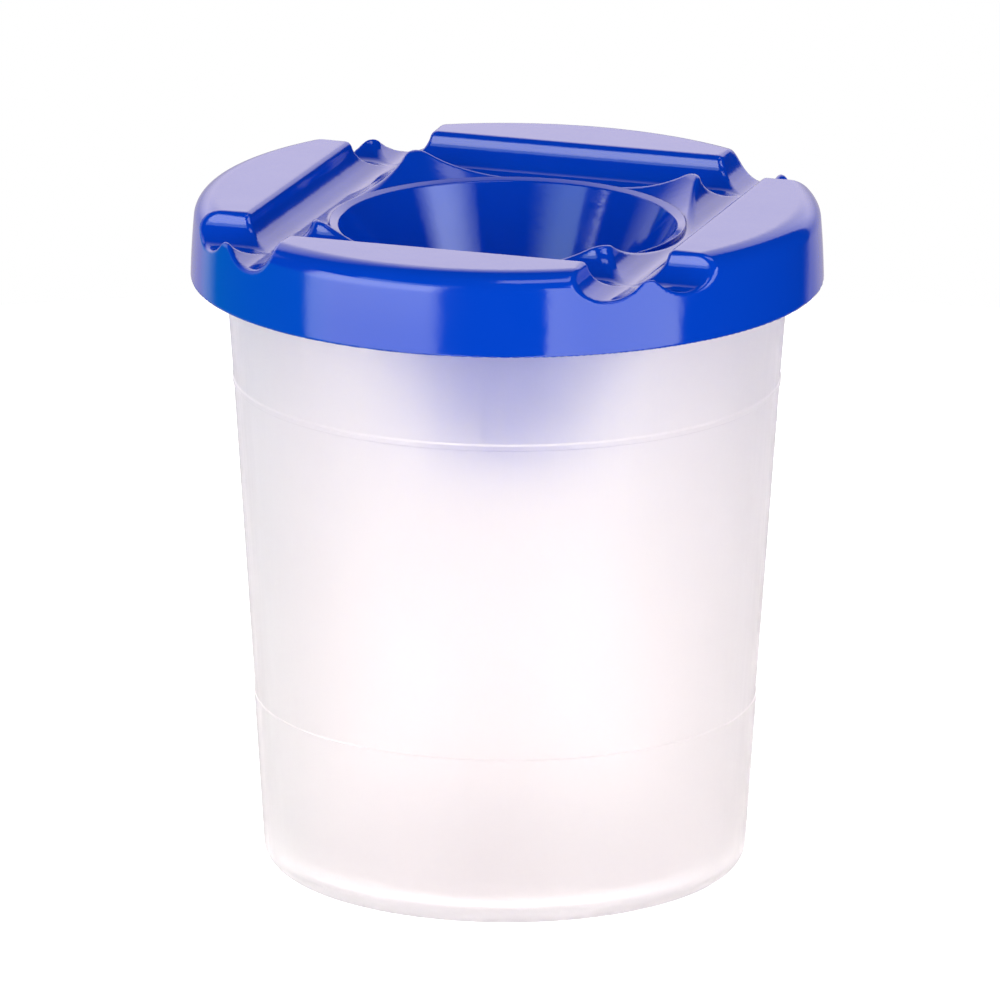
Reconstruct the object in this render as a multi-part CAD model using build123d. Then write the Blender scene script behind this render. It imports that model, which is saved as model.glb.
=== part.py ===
from build123d import *
import math
import os

# Brush washer: a round beaker with a push-on lid. Millimetres, +Z up. The origin is the
# centre of the beaker's foot, on the surface it stands on. X and Y run along the four
# brush grooves of the lid.

# Beaker: one thin moulding, a cone that widens upwards to a flange at the mouth.
cup_foot_radius = 30.62  # outside, where the wall's line meets the table
cup_foot_rounding = 2.2
cup_lower_draft = 3.57  # degrees off upright, from the foot up to the ridge
cup_upper_draft = 4.1  # degrees, from the ridge up to the mouth
cup_wall = 1.1
cup_floor = 1.4
cup_foot_recess = 0.6  # the floor's middle stands this far off the table
cup_foot_ring = 2.6  # width of the ring that touches the table
level_line_height = 22.2
level_line_step = 0.12
ridge_height = 63.15  # underside of the thin ridge round the upper part
ridge_width = 0.9
ridge_proud = 0.12
mouth_height = 82.0
flange_width = 2.29
flange_thickness = 1.3
flange_rounding = 0.45

# Lid skirt and top.
lid_wall = 1.2
seat_clearance = 0.05  # between the mouth and the undersides of the grooves
flange_clearance = 0.6  # between the flange's edge and the inside of the skirt
skirt_draft = 0.7  # how much smaller the skirt is at the shoulder than at its edge
skirt_depth = 5.4  # from the mouth down to the skirt's lower edge
snap_bead_height = 0.25
snap_bead_spread = 0.5  # from the bead's crest down or up to the skirt's wall
snap_bead_drop = 1.2  # the bead's crest under the flange
shoulder_rounding = 2.6

# Grooves: two along X and two along Y, each a round-bottomed channel.
groove_radius = 3.9
groove_depth = 3.85
groove_offset = 23.6

# Funnel in the middle, with a low lip round its mouth.
funnel_mouth_radius = 21.4
funnel_lip_width = 1.1
funnel_lip_rise = 0.5  # above the floors of the grooves
funnel_depth = 29.05
funnel_throat_radius = 7.2
horn_flank_width = 3.7  # from the lip out to the flat tops of the four horns

# What follows from them.
level_line_radius = cup_foot_radius + level_line_height * math.tan(math.radians(cup_lower_draft))
ridge_radius = cup_foot_radius + ridge_height * math.tan(math.radians(cup_lower_draft))
upper_wall_height = mouth_height - ridge_height
mouth_radius = ridge_radius + upper_wall_height * math.tan(math.radians(cup_upper_draft))
groove_floor_height = mouth_height + seat_clearance + lid_wall
lid_top_height = groove_floor_height + groove_depth
groove_axis_height = groove_floor_height + groove_radius
flange_radius = mouth_radius + flange_width
skirt_edge_height = mouth_height - skirt_depth
skirt_inner_radius = flange_radius + flange_clearance
skirt_radius = skirt_inner_radius + lid_wall
lip_radius = funnel_mouth_radius + funnel_lip_width
lip_height = groove_floor_height + funnel_lip_rise
horn_flat_radius = lip_radius + horn_flank_width
funnel_end_height = lip_height - funnel_depth
lift_clearance = 5.0  # between the funnel's end and the mouth when the lid is off
lid_travel = mouth_height - funnel_end_height + lift_clearance


def turned(*points):
    """A solid of revolution about Z from an outline given as (radius, height) points."""
    outline = Polyline(*[(radius, 0, height) for radius, height in points], close=True)
    return revolve(make_face(outline), Axis.Z)


def edge_circle(body, radius, height):
    """The circular edges of a body that lie at a radius and height."""
    return [
        edge
        for edge in body.edges().filter_by(GeomType.CIRCLE)
        if abs(edge.radius - radius) < 0.001 and abs(edge.center().Z - height) < 0.001
    ]


def cone_radius(low, high, height):
    """Radius at a height on the line through two (radius, height) points."""
    share = (height - low[1]) / (high[1] - low[1])
    return low[0] + share * (high[0] - low[0])


def cup():
    """The beaker, with its level line, its thin ridge and its flange."""
    foot = (cup_foot_radius, 0)
    level_out = (level_line_radius, level_line_height)
    level_in = (level_line_radius - level_line_step, level_line_height)
    ridge_low = (ridge_radius, ridge_height)
    mouth = (mouth_radius, mouth_height)
    ridge_top = ridge_height + ridge_width
    ridge_crest = ridge_top - 2 * ridge_proud
    outside = turned(
        (0, 0),
        foot,
        level_out,
        level_in,
        ridge_low,
        (ridge_radius + ridge_proud, ridge_height + ridge_proud / 2),
        (cone_radius(ridge_low, mouth, ridge_crest) + ridge_proud, ridge_crest),
        (cone_radius(ridge_low, mouth, ridge_top), ridge_top),
        mouth,
        (0, mouth_height),
    )
    outside = fillet(edge_circle(outside, cup_foot_radius, 0), cup_foot_rounding)
    inside_floor = cup_foot_recess + cup_floor
    inside = turned(
        (0, inside_floor),
        (cone_radius(foot, level_in, inside_floor) - cup_wall, inside_floor),
        (level_line_radius - level_line_step - cup_wall, level_line_height),
        (ridge_radius - cup_wall, ridge_height),
        (mouth_radius - cup_wall, mouth_height),
        (0, mouth_height),
    )
    corner = cone_radius(foot, level_in, inside_floor) - cup_wall
    inside = fillet(edge_circle(inside, corner, inside_floor), cup_foot_rounding)
    recess_radius = cup_foot_radius - cup_foot_rounding - cup_foot_ring
    recess = turned(
        (0, 0),
        (recess_radius, 0),
        (recess_radius - cup_foot_recess, cup_foot_recess),
        (0, cup_foot_recess),
    )
    flange = turned(
        (mouth_radius - cup_wall, mouth_height - flange_thickness),
        (flange_radius, mouth_height - flange_thickness),
        (flange_radius, mouth_height),
        (mouth_radius - cup_wall, mouth_height),
    )
    flange = fillet(
        edge_circle(flange, flange_radius, mouth_height)
        + edge_circle(flange, flange_radius, mouth_height - flange_thickness),
        flange_rounding,
    )
    return outside + flange - inside - recess


def groove_rods(radius):
    """Four long round rods on the axes of the grooves."""
    length = 3 * skirt_radius
    rods = []
    for side in (-groove_offset, groove_offset):
        along_x = Plane((-length / 2, side, groove_axis_height), z_dir=(1, 0, 0))
        along_y = Plane((side, -length / 2, groove_axis_height), z_dir=(0, 1, 0))
        rods.append(extrude(along_x * Circle(radius), length))
        rods.append(extrude(along_y * Circle(radius), length))
    return rods


def lid_outside():
    """The lid as a plain round cap, before anything is cut into it."""
    cap = turned(
        (0, skirt_edge_height),
        (skirt_radius, skirt_edge_height),
        (skirt_radius - skirt_draft, lid_top_height),
        (0, lid_top_height),
    )
    return fillet(
        edge_circle(cap, skirt_radius - skirt_draft, lid_top_height), shoulder_rounding
    )


def lid_inside():
    """The hollow under the cap, open below, with the snap bead left standing in it."""
    wall_low = (skirt_inner_radius, skirt_edge_height)
    wall_high = (skirt_inner_radius - skirt_draft, lid_top_height)
    crest = mouth_height - flange_thickness - snap_bead_drop
    below, above = crest - snap_bead_spread, crest + snap_bead_spread
    ceiling = lid_top_height - lid_wall
    ceiling_radius = cone_radius(wall_low, wall_high, ceiling)
    hollow = turned(
        (0, skirt_edge_height),
        wall_low,
        (cone_radius(wall_low, wall_high, below), below),
        (cone_radius(wall_low, wall_high, crest) - snap_bead_height, crest),
        (cone_radius(wall_low, wall_high, above), above),
        (ceiling_radius, ceiling),
        (0, ceiling),
    )
    return fillet(
        edge_circle(hollow, ceiling_radius, ceiling), shoulder_rounding - lid_wall
    )


def funnel_wall():
    """The funnel with its lip, and the cone that carries the horns' inner flanks."""
    lean = (funnel_mouth_radius - funnel_throat_radius) / funnel_depth
    sideways = lid_wall * math.hypot(1, lean)
    return turned(
        (0, funnel_end_height),
        (funnel_throat_radius + sideways, funnel_end_height),
        (funnel_mouth_radius + sideways - lean * lid_wall, lip_height - lid_wall),
        (lip_radius, lip_height - lid_wall),
        (horn_flat_radius + lid_wall, lid_top_height - lid_wall),
        (horn_flat_radius + lid_wall, lid_top_height),
        (0, lid_top_height),
    )


def funnel_bore():
    """The open space of the funnel, from its throat up past the horns' flanks."""
    return turned(
        (0, funnel_end_height),
        (funnel_throat_radius, funnel_end_height),
        (funnel_mouth_radius, lip_height),
        (lip_radius, lip_height),
        (horn_flat_radius, lid_top_height),
        (0, lid_top_height),
    )


def funnel_lip():
    """The ring round the funnel's mouth, which stands above the floors of the grooves."""
    root = lip_height - lid_wall
    return turned(
        (funnel_mouth_radius, root),
        (lip_radius, root),
        (lip_radius, lip_height),
        (funnel_mouth_radius, lip_height),
    )


def lid():
    """The lid: cap, grooves and funnel in one moulding."""
    outside = lid_outside()
    jackets = [rod & outside for rod in groove_rods(groove_radius + lid_wall)]
    body = outside - lid_inside() + jackets + funnel_wall()
    body -= groove_rods(groove_radius)
    return body + funnel_lip() - funnel_bore()


def write(node, shape):
    """Writes one sub-part as parts/NODE.step."""
    solids = shape.solids()
    print(node, len(solids), "solid", round(shape.volume), "mm3", shape.bounding_box())
    export_step(solids[0] if len(solids) == 1 else shape, os.path.join("parts", node + ".step"))


os.makedirs("parts", exist_ok=True)
write("cup", cup())
write("lid", lid())
print("lid travel", round(lid_travel, 2))
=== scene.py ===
import math

import bmesh
import bpy
import numpy as np
from mathutils import Matrix, Vector


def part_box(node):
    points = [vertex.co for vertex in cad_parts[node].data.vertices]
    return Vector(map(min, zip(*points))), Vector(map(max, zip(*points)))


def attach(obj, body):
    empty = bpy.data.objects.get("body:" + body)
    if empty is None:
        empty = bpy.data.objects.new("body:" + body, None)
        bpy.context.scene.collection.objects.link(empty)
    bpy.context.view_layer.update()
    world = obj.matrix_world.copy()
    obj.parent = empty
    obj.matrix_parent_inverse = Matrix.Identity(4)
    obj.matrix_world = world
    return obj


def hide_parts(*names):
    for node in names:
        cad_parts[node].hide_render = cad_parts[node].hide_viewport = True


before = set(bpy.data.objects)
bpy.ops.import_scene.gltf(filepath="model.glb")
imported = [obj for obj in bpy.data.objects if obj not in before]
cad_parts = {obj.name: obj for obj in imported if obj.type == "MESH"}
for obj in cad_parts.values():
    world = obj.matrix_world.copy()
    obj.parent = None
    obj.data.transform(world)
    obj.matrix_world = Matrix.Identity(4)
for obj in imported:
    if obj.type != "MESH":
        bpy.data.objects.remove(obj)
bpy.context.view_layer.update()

mm = 0.001
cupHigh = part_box("cup")[1] / mm
lidLow, lidHigh = [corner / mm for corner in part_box("lid")]


def finishPiece(name, mesh, body, node, material):
    obj = bpy.data.objects.new(name, mesh)
    bpy.context.scene.collection.objects.link(obj)
    mesh.materials.append(material)
    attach(obj, body)
    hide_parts(node)
    return obj


def meshFrom(name, bm):
    # wide faces set the shading, so a rounded edge doesn't bend it across the face beside it
    bmesh.ops.scale(bm, vec=(mm, mm, mm), verts=bm.verts)
    for face in bm.faces:
        face.smooth = True
    normals = [
        sum((face.normal * face.calc_area() for face in vert.link_faces), Vector()).normalized()
        for vert in bm.verts
    ]
    mesh = bpy.data.meshes.new(name)
    bm.to_mesh(mesh)
    bm.free()
    mesh.normals_split_custom_set_from_vertices(normals)
    return mesh


def linear(hexColour):
    # sRGB hex to the linear colour that a shader takes
    channels = [int(hexColour[i:i + 2], 16) / 255 for i in (1, 3, 5)]
    return [c / 12.92 if c <= 0.04045 else ((c + 0.055) / 1.055) ** 2.4 for c in channels] + [1]


def addNode(tree, kind, settings=None, **inputs):
    # one node, with its settings and with a value or a link on each named input
    node = tree.nodes.new(kind)
    for key, value in (settings or {}).items():
        setattr(node, key, value)
    for key, value in inputs.items():
        key = int(key[5:]) if key.startswith("input") else key.replace("_", " ")
        socket = node.inputs[key]
        if isinstance(value, bpy.types.NodeSocket):
            tree.links.new(value, socket)
        else:
            socket.default_value = value
    return node


def newMaterial(name):
    material = bpy.data.materials.new(name)
    material.use_nodes = True
    material.node_tree.nodes.clear()
    return material, material.node_tree


# A long lens, a little above the rim.
view = {
    "lens": 467.5,  # on a 36 mm sensor
    "distance": 1.65,
    "aimHeight": 0.042,
    "swing": 18.37,  # degrees from straight on, towards +X
    "rise": 16.02,
    "roll": 0.25,
    "shift": (-0.0061, 0.0386),
}


def makeCamera():
    data = bpy.data.cameras.new("camera")
    data.lens = view["lens"]
    data.sensor_width = 36
    data.shift_x, data.shift_y = view["shift"]
    data.clip_start, data.clip_end = 0.1, 20
    camera = bpy.data.objects.new("camera", data)
    swing, rise = math.radians(view["swing"]), math.radians(view["rise"])
    back = Vector((math.sin(swing) * math.cos(rise), -math.cos(swing) * math.cos(rise), math.sin(rise)))
    facing = Matrix.Rotation(swing, 4, "Z") @ Matrix.Rotation(math.pi / 2 - rise, 4, "X")
    facing = facing @ Matrix.Rotation(math.radians(view["roll"]), 4, "Z")
    place = Vector((0, 0, view["aimHeight"])) + back * view["distance"]
    camera.matrix_world = Matrix.Translation(place) @ facing
    bpy.context.scene.collection.objects.link(camera)
    bpy.context.scene.camera = camera


makeCamera()
print("camera placed")


# The lid is one moulding: skirt, platforms, brush channels, horns and funnel.
lid = {
    "top": lidHigh.z,
    "funnelEnd": lidLow.z,
    "skirtRadius": lidHigh.x,
    "mouthHeight": cupHigh.z,
    "skirtDepth": 5.4,
    "skirtDraft": 0.7,
    "skirtBow": 0.65,  # share of the draft that comes as a curve towards the shoulder
    "wall": 1.2,
    "shoulder": 2.6,
    "edge": 0.75,  # rounding of the platforms and horns
    "endEdge": 0.55,  # rounding of the channels' ends in the skirt
    "endStart": 34,  # radius from which the one rounding turns into the other
    "endRun": 4,
    "innerEdge": 0.6,
    "rimEdge": 0.3,
    "grooveRadius": 3.9,
    "grooveDepth": 3.85,
    "grooveOffset": 23.6,
    "corner": 2.0,  # rounding in plan of the horns and of the points outside them
    "floorCorner": 0.03,  # share of that rounding left where the channels' floors cross
    "mouthRadius": 21.4,
    "throatRadius": 7.2,
    "lipWidth": 1.1,
    "lipRise": 0.5,
    "lipDip": 0.35,  # how far the lip's top slopes down towards the funnel
    "lipEdge": 0.16,
    "lipShow": 0.8,  # how much of the lip's side stands clear of the horns
    "hornFlank": 3.7,
    "hornInset": 0.35,  # from the lip out to the foot of a horn's flank
    "collar": 3,  # how far the cap runs down round the funnel
    "lipDepth": 1.0,  # height of the lip's outer side
    "lipRoot": 1.5,  # from the lip's top down to where the funnel's outside begins
    "funnelSlip": 0.05,  # the funnel's wall is this much thinner than the collar round it
    "turns": 256,
    "beadHeight": 0.25,
    "beadSpread": 0.5,
    "beadCrest": 2.5,  # under the mouth
}


# Soft-edged channels that cross and run out through a round shoulder leave no edge loops
# that a bevel can follow, so the cap is a distance form with a skin of quads grown on it.
# The funnel with its lip is turned.

def meet(parts, rounding):
    # where several forms overlap, with their shared edges rounded
    outside = sum(np.maximum(part + rounding, 0) ** 2 for part in parts)
    return np.minimum(np.maximum.reduce(parts), -rounding) + np.sqrt(outside)


def funnelShape():
    # top and outer radius of the lip, and how far the funnel narrows for each step down
    lipTop = lid["top"] - lid["grooveDepth"] + lid["lipRise"]
    lean = (lid["mouthRadius"] - lid["throatRadius"]) / (lipTop - lid["funnelEnd"])
    return lipTop, lid["mouthRadius"] + lid["lipWidth"], lean


def lidDistance(x, y, z):
    radius = np.hypot(x, y)
    skirtEdge = lid["mouthHeight"] - lid["skirtDepth"]
    grooveAxis = lid["top"] - lid["grooveDepth"] + lid["grooveRadius"]
    lipTop, lipRadius, funnelLean = funnelShape()
    flankLean = lid["hornFlank"] / (lid["top"] - lipTop)
    ledge = lipTop - lid["lipShow"]
    share = (z - skirtEdge) / (lid["top"] - skirtEdge)
    bow = lid["skirtBow"]
    skirt = lid["skirtRadius"] - lid["skirtDraft"] * ((1 - bow) * share + bow * share ** 2)
    bore = (lid["mouthRadius"] - funnelLean * (lipTop - z) - radius) / math.hypot(1, funnelLean)

    rise = np.minimum(z - grooveAxis, 0)
    fromAxisX, fromAxisY = np.abs(x) - lid["grooveOffset"], np.abs(y) - lid["grooveOffset"]
    # the walls of crossing channels meet square at their tops and run together at their floors
    square = np.clip(1 - (rise / lid["grooveRadius"]) ** 2, lid["floorCorner"], 1)
    corner = square * np.where(fromAxisX * fromAxisY > 0, lid["corner"], lid["edge"])
    outward = np.clip((radius - lid["endStart"]) / lid["endRun"], 0, 1)
    edge = lid["edge"] + (lid["endEdge"] - lid["edge"]) * outward ** 2 * (3 - 2 * outward)

    def form(inset, skirtRadius):
        # cap, the two pairs of channels and the horns' inner flanks, shrunk by inset
        flankFoot = lipRadius + lid["hornInset"]
        flank = (flankFoot + flankLean * (z - lipTop) + inset - radius) / math.hypot(1, flankLean)
        channels = [lid["grooveRadius"] + inset - np.hypot(part, rise) for part in (fromAxisX, fromAxisY)]
        return [
            meet([z - lid["top"] + inset, radius - skirtRadius], lid["shoulder"] - inset),
            meet(channels, corner),
            np.minimum(z - ledge + inset, flank),
        ]

    upper = np.maximum(meet(form(0, skirt), edge), bore + lid["wall"] / 2)
    beadCrest = lid["mouthHeight"] - lid["beadCrest"]
    bead = lid["beadHeight"] * np.maximum(0, 1 - np.abs(z - beadCrest) / lid["beadSpread"])
    hollow = meet(form(lid["wall"], skirt - lid["wall"] - bead) + [bore + lid["wall"]], lid["innerEdge"])
    underside = np.where(radius > lid["grooveOffset"], skirtEdge, lipTop - lid["collar"]) - z
    return meet([upper, -hollow, underside], lid["rimEdge"])


# Closer where the form bends most.
skin = {
    # stretches of (start, end, spacing), one after another
    "across": [(0, 19, 0.5), (19, 20.2, 0.2), (20.2, 26.9, 0.4), (26.9, 28.3, 0.2), (28.3, 40.9, 0.47)],
    "upward": [(76, 78, 0.4), (78, 82, 0.65), (82, 87.4, 0.27)],
    "slopeStep": 0.01,
    "settling": 4,  # rounds of moving the skin onto the form
    "leastSteepness": 0.25,
}


def gridLines(stretches):
    lines = []
    for start, end, spacing in stretches:
        lines.extend(np.linspace(start, end, round((end - start) / spacing), endpoint=False))
    return np.array(lines + [stretches[-1][1]])


def growSkin(distance, xs, ys, zs):
    # one vertex in each grid cell that the surface crosses, one quad round each crossed grid line
    places = np.meshgrid(xs, ys, zs, indexing="ij")
    field = distance(*places)
    shape = field.shape
    cellShape = [count - 1 for count in shape]
    total, found = np.zeros([3] + cellShape), np.zeros(cellShape)
    crossings = []
    for axis in range(3):
        low = tuple(slice(0, -1) if a == axis else slice(None) for a in range(3))
        high = tuple(slice(1, None) if a == axis else slice(None) for a in range(3))
        crossed = (field[low] < 0) != (field[high] < 0)
        share = np.where(crossed, field[low] / np.where(crossed, field[low] - field[high], 1), 0)
        others = [a for a in range(3) if a != axis]
        for first in (0, 1):
            for second in (0, 1):
                side = [slice(None)] * 3
                side[others[0]] = slice(first, shape[others[0]] - 1 + first)
                side[others[1]] = slice(second, shape[others[1]] - 1 + second)
                side = tuple(side)
                found += crossed[side]
                for a in range(3):
                    place = places[a][low]
                    if a == axis:
                        place = place + share * (places[a][high] - place)
                    total[a] += np.where(crossed, place, 0)[side]
        crossings.append((crossed, field[low] < 0))
    used = found > 0
    number = np.full(used.shape, -1)
    number[used] = np.arange(used.sum())
    quads = []
    for axis, (crossed, solidBelow) in enumerate(crossings):
        second, third = (axis + 1) % 3, (axis + 2) % 3
        at = np.argwhere(crossed)
        ring = []
        for back in ((1, 1), (0, 1), (0, 0), (1, 0)):
            cell = at.copy()
            cell[:, second] -= back[0]
            cell[:, third] -= back[1]
            ring.append(number[tuple(cell.T)])
        ring = np.stack(ring, 1)
        flipped = ~solidBelow[tuple(at.T)]
        ring[flipped] = ring[flipped][:, ::-1]
        quads.append(ring)
    return (total[:, used] / found[used]).T, np.concatenate(quads)


def slopeOf(distance, points):
    step = skin["slopeStep"]
    columns = []
    for axis in range(3):
        ahead, behind = points.copy(), points.copy()
        ahead[:, axis] += step
        behind[:, axis] -= step
        columns.append((distance(*ahead.T) - distance(*behind.T)) / (2 * step))
    return np.stack(columns, 1)


def makeCap(material):
    half = gridLines(skin["across"])
    across = np.concatenate([-half[:0:-1], half])
    points, quads = growSkin(lidDistance, across, across, gridLines(skin["upward"]))
    for _ in range(skin["settling"]):
        slope = slopeOf(lidDistance, points)
        steep = np.maximum((slope ** 2).sum(1), skin["leastSteepness"])
        points -= slope * (lidDistance(*points.T) / steep)[:, None]
    normals = slopeOf(lidDistance, points)
    mesh = bpy.data.meshes.new("lid_cap")
    mesh.vertices.add(len(points))
    mesh.vertices.foreach_set("co", (points * mm).ravel())
    mesh.loops.add(quads.size)
    mesh.loops.foreach_set("vertex_index", quads.ravel())
    mesh.polygons.add(len(quads))
    mesh.polygons.foreach_set("loop_start", np.arange(0, quads.size, 4))
    mesh.update(calc_edges=True)
    mesh.validate()
    mesh.shade_smooth()
    mesh.normals_split_custom_set_from_vertices(normals / np.linalg.norm(normals, axis=1)[:, None])
    print("cap", len(quads), "quads")
    return finishPiece("lid_cap", mesh, "lid", "lid", material)


turned = {
    "touch": 0.001,  # points nearer than this are one
    "wideRounding": 1,  # above this, a rounding takes more steps
    "wideSteps": 6,
    "steps": 3,
}


def turn(corners, turns, closed):
    # a body of revolution from (radius, height, rounding) corners
    touch = turned["touch"]
    bm = bmesh.new()
    verts = [bm.verts.new((radius, 0, height)) for radius, height, _ in corners]
    edges = [bm.edges.new(pair) for pair in zip(verts, verts[1:])]
    if closed:
        edges.append(bm.edges.new((verts[-1], verts[0])))
    bmesh.ops.spin(
        bm, geom=verts + edges, cent=(0, 0, 0), axis=(0, 0, 1), dvec=(0, 0, 0),
        angle=2 * math.pi, steps=turns, use_merge=True, use_duplicate=False,
    )
    bmesh.ops.remove_doubles(bm, verts=bm.verts, dist=touch)
    bmesh.ops.recalc_face_normals(bm, faces=bm.faces)
    for radius, height, rounding in corners:
        if rounding:
            loop = [
                e for e in bm.edges
                if all(abs(v.co.z - height) < touch and abs(v.co.xy.length - radius) < touch for v in e.verts)
            ]
            steps = turned["wideSteps"] if rounding > turned["wideRounding"] else turned["steps"]
            bmesh.ops.bevel(
                bm, geom=loop, offset=rounding, offset_type="OFFSET", affect="EDGES",
                segments=steps, profile=0.5, material=-1,
            )
    bm.normal_update()
    return bm


def makeFunnel(material):
    lipTop, lipRadius, lean = funnelShape()
    sideways = (lid["wall"] - lid["funnelSlip"]) * math.hypot(1, lean)
    corners = [
        (lid["throatRadius"], lid["funnelEnd"], lid["rimEdge"]),
        (lid["mouthRadius"], lipTop - lid["lipDip"], lid["lipEdge"]),
        (lipRadius, lipTop, lid["lipEdge"]),
        (lipRadius, lipTop - lid["lipDepth"], 0),
        (lid["mouthRadius"] - lean * lid["lipRoot"] + sideways, lipTop - lid["lipRoot"], 0),
        (lid["throatRadius"] + sideways, lid["funnelEnd"], lid["rimEdge"]),
    ]
    mesh = meshFrom("lid_funnel", turn(corners, lid["turns"], True))
    print("funnel", len(mesh.polygons), "faces")
    return finishPiece("lid_funnel", mesh, "lid", "lid", material)


# The beaker is a body of revolution.
cup = {
    "footRadius": 30.62,
    "footRounding": 2.2,
    "lowerDraft": 3.57,
    "upperDraft": 4.1,
    "wall": 1.1,
    "floor": 1.4,
    "recess": 0.6,
    "footRing": 2.6,
    "levelHeight": 22.2,
    "levelStep": 0.12,
    "ridgeHeight": 63.15,
    "ridgeWidth": 0.9,
    "ridgeProud": 0.12,
    "mouthHeight": cupHigh.z,
    "flangeRadius": cupHigh.x,
    "flangeThickness": 1.3,
    "flangeRounding": 0.45,
    "underFlangeRounding": 0.4,
    "lineRounding": 0.05,  # of the level line and the ridge
    "ridgeFootRounding": 0.03,
    "ridgeNoseRounding": 0.04,
    "rimRounding": 0.3,  # of the foot ring's inner edges and the mouth
    "insideRounding": 0.2,
    "turns": 256,
}


def makeCup(material):
    lower, upper = [math.tan(math.radians(cup[key])) for key in ("lowerDraft", "upperDraft")]
    levelRadius = cup["footRadius"] + lower * cup["levelHeight"]
    ridgeRadius = cup["footRadius"] + lower * cup["ridgeHeight"]
    proud, ridgeWidth = cup["ridgeProud"], cup["ridgeWidth"]
    ridgeTop = cup["ridgeHeight"] + ridgeWidth
    flangeFoot = cup["mouthHeight"] - cup["flangeThickness"]
    mouthRadius = ridgeRadius + upper * (cup["mouthHeight"] - cup["ridgeHeight"])
    recessRadius = cup["footRadius"] - cup["footRounding"] - cup["footRing"]
    floorTop = cup["recess"] + cup["floor"]
    corners = [  # radius, height, rounding
        (0, cup["recess"], 0),
        (recessRadius - cup["recess"], cup["recess"], cup["rimRounding"]),
        (recessRadius, 0, cup["rimRounding"]),
        (cup["footRadius"], 0, cup["footRounding"]),
        (levelRadius, cup["levelHeight"], cup["lineRounding"]),
        (levelRadius - cup["levelStep"], cup["levelHeight"] + cup["levelStep"], cup["lineRounding"]),
        (ridgeRadius, cup["ridgeHeight"], cup["ridgeFootRounding"]),
        (ridgeRadius + proud, cup["ridgeHeight"] + proud / 2, cup["ridgeNoseRounding"]),
        (ridgeRadius + upper * (ridgeWidth - 2 * proud) + proud, ridgeTop - 2 * proud, cup["lineRounding"]),
        (ridgeRadius + upper * ridgeWidth, ridgeTop, cup["lineRounding"]),
        (mouthRadius - upper * cup["flangeThickness"], flangeFoot, cup["underFlangeRounding"]),
        (cup["flangeRadius"], flangeFoot, cup["flangeRounding"]),
        (cup["flangeRadius"], cup["mouthHeight"], cup["flangeRounding"]),
        (mouthRadius - cup["wall"], cup["mouthHeight"], cup["rimRounding"]),
        (ridgeRadius - cup["wall"], cup["ridgeHeight"], cup["insideRounding"]),
        (levelRadius - cup["levelStep"] - cup["wall"], cup["levelHeight"], cup["insideRounding"]),
        (cup["footRadius"] + lower * floorTop - cup["wall"], floorTop, cup["footRounding"]),
        (0, floorTop, 0),
    ]
    mesh = meshFrom("cup_shell", turn(corners, cup["turns"], False))
    print("cup", len(mesh.polygons), "faces")
    return finishPiece("cup_shell", mesh, "cup", "cup", material)


def royalBluePolypropylene():
    # polypropylene, pigmented, injection moulded in a polished tool: deep colour under a clear gloss
    material, tree = newMaterial("moulded royal blue polypropylene")
    place = addNode(tree, "ShaderNodeTexCoord").outputs["Object"]
    # slow waves where it shrank on cooling, and a fine grain, drawn coarser than it is to show
    flow = addNode(tree, "ShaderNodeTexNoise", Vector=place, Scale=1 / (9 * mm), Detail=2.0)
    waves = addNode(tree, "ShaderNodeBump", Strength=0.15, Distance=0.2 * mm, Height=flow.outputs["Fac"])
    grain = addNode(tree, "ShaderNodeTexNoise", Vector=place, Scale=1 / (0.8 * mm), Detail=3.0)
    bump = addNode(tree, "ShaderNodeBump", Strength=0.6, Distance=0.012 * mm, Height=grain.outputs["Fac"],
                   Normal=waves.outputs["Normal"])
    # handling leaves the gloss a little uneven
    handled = addNode(tree, "ShaderNodeTexNoise", Vector=place, Scale=1 / (5 * mm), Detail=5.0)
    dulled = addNode(tree, "ShaderNodeMapRange", Value=handled.outputs["Fac"],
                     From_Min=0.3, From_Max=0.7, To_Min=0.07, To_Max=0.12)
    shader = addNode(
        tree, "ShaderNodeBsdfPrincipled", Base_Color=linear("#0044CE"), Roughness=dulled.outputs[0],
        IOR=1.49, Normal=bump.outputs["Normal"],
    )
    addNode(tree, "ShaderNodeOutputMaterial", Surface=shader.outputs["BSDF"])
    return material


def frostedPolypropylene():
    # natural polypropylene, injection moulded in a matt tool: milky, lets blurred colour through,
    # with faint upright streaks from drawing it off the tool
    material, tree = newMaterial("moulded frosted polypropylene")
    place = addNode(tree, "ShaderNodeTexCoord").outputs["Object"]
    drawn = addNode(tree, "ShaderNodeMapping", Vector=place, Scale=(1, 1, 0.08))
    streaks = addNode(tree, "ShaderNodeTexNoise", Vector=drawn.outputs[0], Scale=1 / (1.1 * mm), Detail=3.0)
    bump = addNode(tree, "ShaderNodeBump", Strength=0.3, Distance=0.08 * mm, Height=streaks.outputs["Fac"])
    drag = addNode(tree, "ShaderNodeMapRange", Value=streaks.outputs["Fac"],
                   From_Min=0.3, From_Max=0.7, To_Min=0.42, To_Max=0.54)
    shader = addNode(
        tree, "ShaderNodeBsdfPrincipled", Base_Color=linear("#FCF8F8"), Roughness=drag.outputs[0], IOR=1.49,
        Transmission_Weight=0.86, Normal=bump.outputs["Normal"],
    )
    milk = addNode(tree, "ShaderNodeBsdfTranslucent", Color=linear("#FEFAF9"))
    milkShare = 0.12
    both = addNode(tree, "ShaderNodeMixShader", input0=milkShare, input1=shader.outputs["BSDF"],
                   input2=milk.outputs[0])
    addNode(tree, "ShaderNodeOutputMaterial", Surface=both.outputs[0])
    return material


blue = royalBluePolypropylene()
makeCap(blue)
makeFunnel(blue)
makeCup(frostedPolypropylene())


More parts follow.
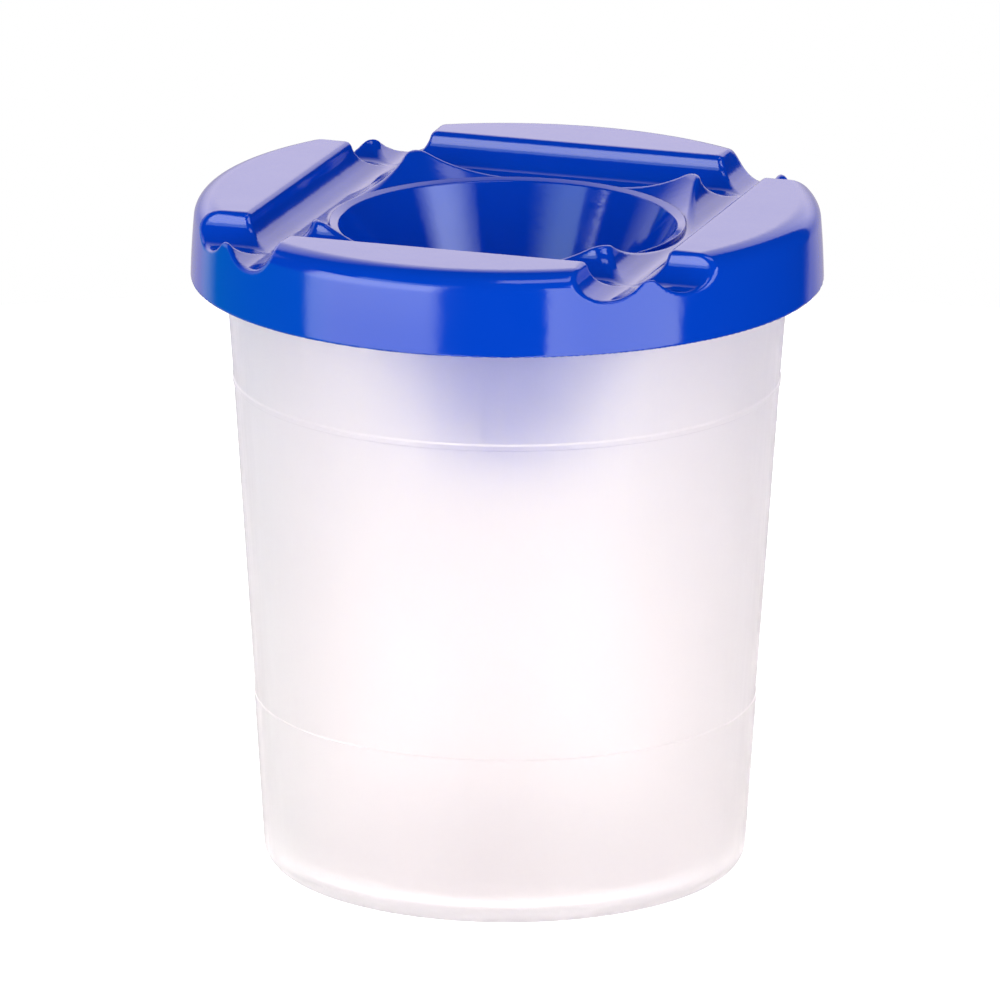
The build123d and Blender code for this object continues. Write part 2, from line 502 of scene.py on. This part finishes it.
# White panels stand round the pot. Lamps in their places light it, and the world shows the
# panels themselves in its gloss, each with its own edges.
studio = {
    "floorRadius": 0.28,
    "floorCorners": 128,
    "floorMatt": 0.8,
    "floorGlow": 0.75,  # the floor's own light, to the eye
    "floorThrough": 0.88,  # the same as seen through the beaker
    "lampAim": 0.045,  # height that the lamps point at
    "fill": 0.5,  # even light on matt surfaces
    "throughWall": 0.74,  # of the white behind, as the beaker's wall passes it on
    "insideBoost": 0.7,  # more light on what such a ray meets inside the beaker
    "darkRoom": 0.005,  # what gloss sees between the panels
}

lamps = {
    # direction in degrees from the camera's side, rise of the middle, size and distance in metres
    "left lamp": {"azimuth": -42, "rise": 6, "size": (0.75, 0.7), "distance": 0.8, "level": 1.7},
    "right lamp": {"azimuth": 40, "rise": 6, "size": (0.75, 0.7), "distance": 0.8, "level": 1.7},
    "back lamp": {"azimuth": 195, "rise": 10, "size": (1.8, 0.8), "distance": 1.2, "level": 0.9},
}

panels = {
    # stops of (degrees, brightness) round the pot and upwards, where 1 is white; "round" is
    # counted to the right from the camera's side, or from straight behind the pot
    "left panel": {
        "behind": False,
        "round": [(-79, 0), (-75.5, 0.85), (-68, 1), (-28.5, 1), (-26, 0.75), (-22.8, 0)],
        "up": [(-40, 2.8), (-10, 3.3), (0, 5.0), (8, 6.2), (20, 6.2), (28, 5.5), (29, 0)],
        "tint": (0.94, 1.0, 1.0, 1),
    },
    "left panel, middle": {
        "behind": False,
        "round": [(-62, 0), (-59.5, 1), (-45, 1), (-35, 0.72), (-26, 0.3), (-16, 0)],
        "up": [(28, 0), (29, 2.0), (37, 2.0), (38, 0)],
        "tint": (0.95, 1.35, 1.4, 1),
    },
    "left wall": {
        "behind": False,
        "round": [(-150, 0), (-140, 0.8), (-110, 1), (-75, 1), (-65, 0)],
        "up": [(-40, 0.5), (6, 0.5), (10, 0)],
        "tint": (0.0, 1.0, 0.8, 1),
    },
    "right panel": {
        "behind": False,
        "round": [(14, 0), (15, 1), (30, 0.88), (60, 1), (64, 1), (66.5, 0)],
        "up": [(-40, 3.7), (0, 3.9), (28, 3.9), (29, 0)],
        "tint": (0.93, 1.0, 0.97, 1),
    },
    "right panel, middle": {
        "behind": False,
        "round": [(24, 0), (26.5, 0.33), (29, 0.4), (39, 0.85), (48, 1.05), (58, 1.05), (66, 0.4), (73, 0)],
        "up": [(28, 0), (29, 5.2), (37, 5.2), (38, 0)],
        "tint": (0.9, 1.02, 1.3, 1),
    },
    "high panel": {
        "behind": False,
        "round": [(-6, 0), (-4, 1), (84, 1), (88, 0)],
        "up": [(58, 0), (60, 2.9), (73, 2.9), (75, 0)],
        "tint": (1.0, 1.0, 1.0, 1),
    },
    "left back panel": {
        "behind": False,
        "round": [(-129, 0), (-127, 0.48), (-121, 0.48), (-110, 0.22), (-103, 0)],
        "up": [(-5, 0), (0, 2.2), (37, 2.6), (38, 0)],
        "tint": (0.95, 1.0, 1.1, 1),
    },
    "backdrop, right foot": {
        "behind": True,
        "round": [(-43, 0), (-40, 0.35), (-37, 0.8), (-36, 0.8), (-35, 0)],
        "up": [(-40, 0.6), (-14, 0.6), (-11, 0)],
        "tint": (1.08, 0.965, 1.0, 1),
    },
    "backdrop": {
        "behind": True,
        "round": [
            (-37, 0), (-35, 0.8), (-24, 1.05), (-12, 0.97), (0, 1), (12, 1), (24, 1.15), (36, 1.15),
            (41, 0.75), (48, 0),
        ],
        "up": [(-30, 0.45), (0, 0.7), (6, 1.15), (13, 1.77), (40, 1.6), (60, 0)],
        "tint": (1.08, 0.965, 1.0, 1),
    },
}


def calculate(tree, operation, first, second=0.0):
    return addNode(tree, "ShaderNodeMath", {"operation": operation}, input0=first, input1=second).outputs[0]


def seenOrThrough(tree):
    # 1 for what the camera sees, straight or through the beaker's wall
    path = addNode(tree, "ShaderNodeLightPath")
    through = calculate(tree, "MINIMUM", path.outputs["Transmission Depth"], 1.0)
    seen = calculate(tree, "MAXIMUM", path.outputs["Is Camera Ray"], path.outputs["Is Transmission Ray"])
    return calculate(tree, "MAXIMUM", seen, through), through, path


def makeFloor():
    bm = bmesh.new()
    bmesh.ops.create_circle(bm, cap_ends=True, segments=studio["floorCorners"], radius=studio["floorRadius"])
    mesh = bpy.data.meshes.new("floor")
    bm.to_mesh(mesh)
    bm.free()
    material, tree = newMaterial("white table top")
    seen, through, _ = seenOrThrough(tree)
    own = calculate(tree, "SUBTRACT", calculate(tree, "MULTIPLY", seen, studio["floorGlow"]),
                    calculate(tree, "MULTIPLY", through, studio["floorGlow"] - studio["floorThrough"]))
    glow = addNode(tree, "ShaderNodeEmission", Color=(1, 1, 1, 1), Strength=own)
    matt = addNode(tree, "ShaderNodeBsdfDiffuse", Color=[studio["floorMatt"]] * 3 + [1])
    both = addNode(tree, "ShaderNodeAddShader", input0=glow.outputs[0], input1=matt.outputs[0])
    addNode(tree, "ShaderNodeOutputMaterial", Surface=both.outputs[0])
    mesh.materials.append(material)
    floor = bpy.data.objects.new("floor", mesh)
    floor.visible_glossy = False
    bpy.context.scene.collection.objects.link(floor)


def makeLamp(name, lamp):
    data = bpy.data.lights.new(name, "AREA")
    data.shape = "RECTANGLE"
    data.size, data.size_y = lamp["size"]
    data.energy = lamp["level"] * math.pi * data.size * data.size_y
    obj = bpy.data.objects.new(name, data)
    turn, rise = math.radians(lamp["azimuth"] + view["swing"]), math.radians(lamp["rise"])
    outwards = Vector((math.sin(turn) * math.cos(rise), -math.cos(turn) * math.cos(rise), math.sin(rise)))
    place = Matrix.Translation(outwards * lamp["distance"] + Vector((0, 0, studio["lampAim"])))
    obj.matrix_world = place @ outwards.to_track_quat("Z", "Y").to_matrix().to_4x4()
    obj.visible_camera = False
    obj.visible_transmission = False
    obj.visible_glossy = False
    bpy.context.scene.collection.objects.link(obj)


def brightness(tree, angle, stops):
    # straight runs from stop to stop
    total = stops[0][1]
    for (start, low), (end, high) in zip(stops, stops[1:]):
        if low != high:
            part = addNode(tree, "ShaderNodeMapRange", Value=angle,
                           From_Min=start, From_Max=end, To_Min=0, To_Max=high - low)
            total = calculate(tree, "ADD", total, part.outputs[0])
    return total


def makeWorld():
    # white to the eye and through the beaker, the panels to gloss, even to matt surfaces
    world = bpy.data.worlds.new("studio")
    world.use_nodes = True
    tree = world.node_tree
    tree.nodes.clear()
    direction = addNode(tree, "ShaderNodeTexCoord").outputs["Generated"]
    swing = math.radians(view["swing"])
    toRight = addNode(tree, "ShaderNodeVectorMath", {"operation": "DOT_PRODUCT"},
                      input0=direction, input1=(math.cos(swing), math.sin(swing), 0)).outputs["Value"]
    toCamera = addNode(tree, "ShaderNodeVectorMath", {"operation": "DOT_PRODUCT"},
                       input0=direction, input1=(math.sin(swing), -math.cos(swing), 0)).outputs["Value"]
    upward = addNode(tree, "ShaderNodeSeparateXYZ", Vector=direction).outputs["Z"]
    front = calculate(tree, "DEGREES", calculate(tree, "ARCTAN2", toRight, toCamera))
    awayRight = calculate(tree, "MULTIPLY", toRight, -1.0)
    awayCamera = calculate(tree, "MULTIPLY", toCamera, -1.0)
    behind = calculate(tree, "DEGREES", calculate(tree, "ARCTAN2", awayRight, awayCamera))
    elevation = calculate(tree, "DEGREES", calculate(tree, "ARCSINE", upward))
    shown = addNode(tree, "ShaderNodeBackground", Color=(1, 1, 1, 1), Strength=studio["darkRoom"])
    for panel in panels.values():
        across = brightness(tree, behind if panel["behind"] else front, panel["round"])
        strength = calculate(tree, "MULTIPLY", across, brightness(tree, elevation, panel["up"]))
        glow = addNode(tree, "ShaderNodeBackground", Color=panel["tint"], Strength=strength)
        shown = addNode(tree, "ShaderNodeAddShader", input0=shown.outputs[0], input1=glow.outputs[0])
    seen, through, path = seenOrThrough(tree)
    bounced = calculate(tree, "MINIMUM", path.outputs["Diffuse Depth"], 1.0)
    inside = calculate(tree, "MULTIPLY", through, bounced)
    passed = addNode(tree, "ShaderNodeMapRange", Value=through, To_Min=1.0, To_Max=studio["throughWall"])
    boost = calculate(tree, "MULTIPLY", inside, studio["insideBoost"])
    whiteStrength = calculate(tree, "ADD", passed.outputs[0], boost)
    fill = addNode(tree, "ShaderNodeBackground", Color=(1, 1, 1, 1), Strength=studio["fill"])
    white = addNode(tree, "ShaderNodeBackground", Color=(1, 1, 1, 1), Strength=whiteStrength)
    gloss = addNode(tree, "ShaderNodeMixShader", input0=path.outputs["Is Glossy Ray"],
                    input1=fill.outputs[0], input2=shown.outputs[0])
    room = addNode(tree, "ShaderNodeMixShader", input0=seen, input1=gloss.outputs[0], input2=white.outputs[0])
    addNode(tree, "ShaderNodeOutputWorld", Surface=room.outputs[0])
    bpy.context.scene.world = world


makeFloor()
makeWorld()
for name, lamp in lamps.items():
    makeLamp(name, lamp)
bpy.context.scene.view_settings.view_transform = "Standard"
print("studio lit")
